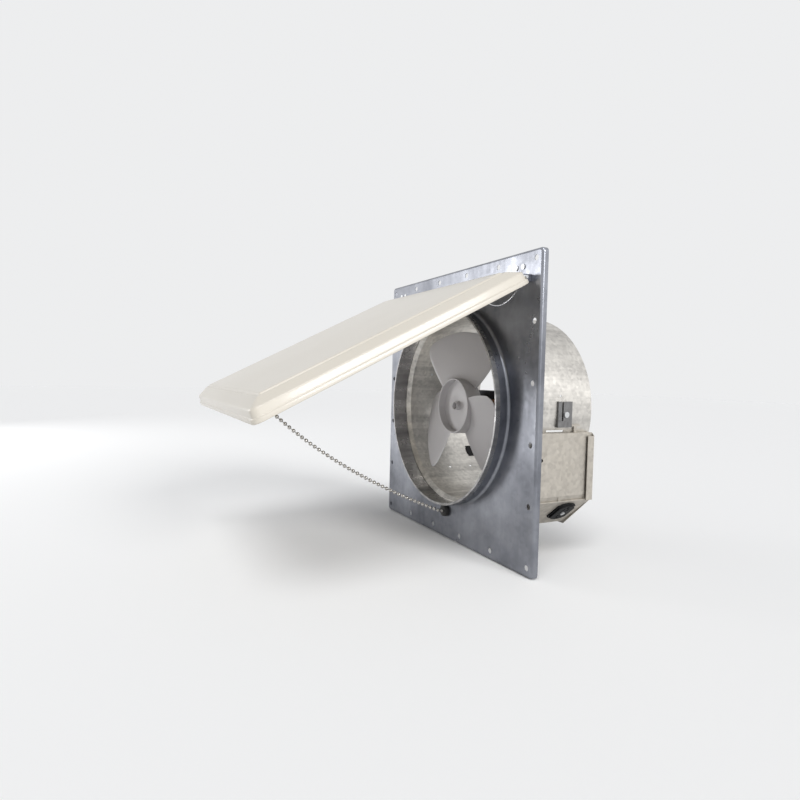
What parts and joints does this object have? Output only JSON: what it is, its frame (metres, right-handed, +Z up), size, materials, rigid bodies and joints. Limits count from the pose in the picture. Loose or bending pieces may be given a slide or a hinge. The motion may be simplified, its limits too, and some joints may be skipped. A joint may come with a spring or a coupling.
{
  "type": "sidewall exhaust fan",
  "caption": "Square wall plate and round duct with a bladed wheel on a bar-mounted motor, and a top-hinged door that wire springs hold open and a bead chain pulls shut.",
  "frame": {"origin": "centre of the nail hole pattern, on the front face of the wall plate", "axes": "+X to the side with the wiring box, +Y into the wall towards the room, +Z up; the door is stored open"},
  "size_m": [0.3556, 0.4545, 0.3556],
  "materials": {
    "galvanised": "bright galvanised sheet",
    "drum_steel": "matte galvanised sheet",
    "box_steel": "spangled galvanised sheet",
    "zinc": "zinc plated",
    "grey_zinc": "dull zinc",
    "spring_steel": "bright drawn wire",
    "nickel": "nickel plated",
    "enamel": "glossy baked enamel",
    "black_paint": "satin black",
    "laminations": "varnished laminations",
    "copper_wire": "varnished copper winding",
    "bronze": "sintered bronze",
    "black_plastic": "satin",
    "rubber": "matte",
    "foam": "closed cell foam",
    "milky_plastic": "milky, satin"
  },
  "bodies": {
    "housing": {"wall_plate": "galvanised", "outer_sleeve": "galvanised", "inner_drum": "drum_steel", "sleeve_screws": "zinc", "wiring_box": "box_steel", "box_cover": "box_steel", "box_screws": "zinc", "box_rivets": "zinc", "receptacle": "black_plastic", "receptacle_screw": "zinc", "switch_body": "black_plastic", "switch_pin": "zinc", "motor_bar": "black_paint", "strap_clips": "grey_zinc", "strap_screws": "zinc", "motor_stack": "laminations", "motor_coil": "copper_wire", "front_bearing_bracket": "grey_zinc", "rear_bearing_bracket": "grey_zinc", "bearing_bushes": "bronze", "isolators": "rubber", "motor_screws": "zinc", "motor_nuts": "zinc", "hinge_bracket_left": "galvanised", "hinge_bracket_right": "galvanised", "hinge_pins": "zinc", "hinge_rivets": "zinc", "door_spring_left": "spring_steel", "door_spring_right": "spring_steel", "outer_chain": "nickel", "chain_grommet": "rubber", "chain_guide": "galvanised", "guide_rivet": "zinc", "entry_plug": "black_plastic"},
    "door": {"door_panel": "enamel", "door_gasket": "foam", "chain_bracket": "zinc", "spring_tabs": "zinc"},
    "fan": {"fan_wheel": "milky_plastic", "hub_clip": "spring_steel", "shaft": "zinc", "rotor": "laminations"},
    "pull": {"pull_bell": "nickel", "inner_chain": "nickel"},
    "lever": {"switch_lever": "zinc"}
  },
  "joints": [
    {"name": "door_hinge", "type": "hinge", "parent": "housing", "child": "door", "pos_m": [0, -0.0084, 0.147], "axis": [1, 0, 0], "range_deg": [0, 62.8], "stiffness_Nm_per_rad": 0.5, "springref_deg": -148.97, "deforming": ["outer_chain", "door_spring_left", "door_spring_right"]},
    {"name": "fan_spin", "type": "hinge", "parent": "housing", "child": "fan", "pos_m": [0, 0, 0], "axis": [0, 1, 0], "continuous": true},
    {"name": "pull_slide", "type": "slide", "parent": "housing", "child": "pull", "axis": [0, 1, 0], "range_m": [0, 0.2782], "deforming": ["inner_chain"]},
    {"name": "switch_lever", "type": "hinge", "parent": "housing", "child": "lever", "pos_m": [0.047, 0.07, -0.138], "axis": [0, 0, -1], "range_deg": [0, 8], "stiffness_Nm_per_rad": 0.05, "springref_deg": -8.59}
  ],
  "couplings": [
    {"joint": "pull_slide", "follows": "door_hinge", "m_per_rad": 0.2538}
  ]
}
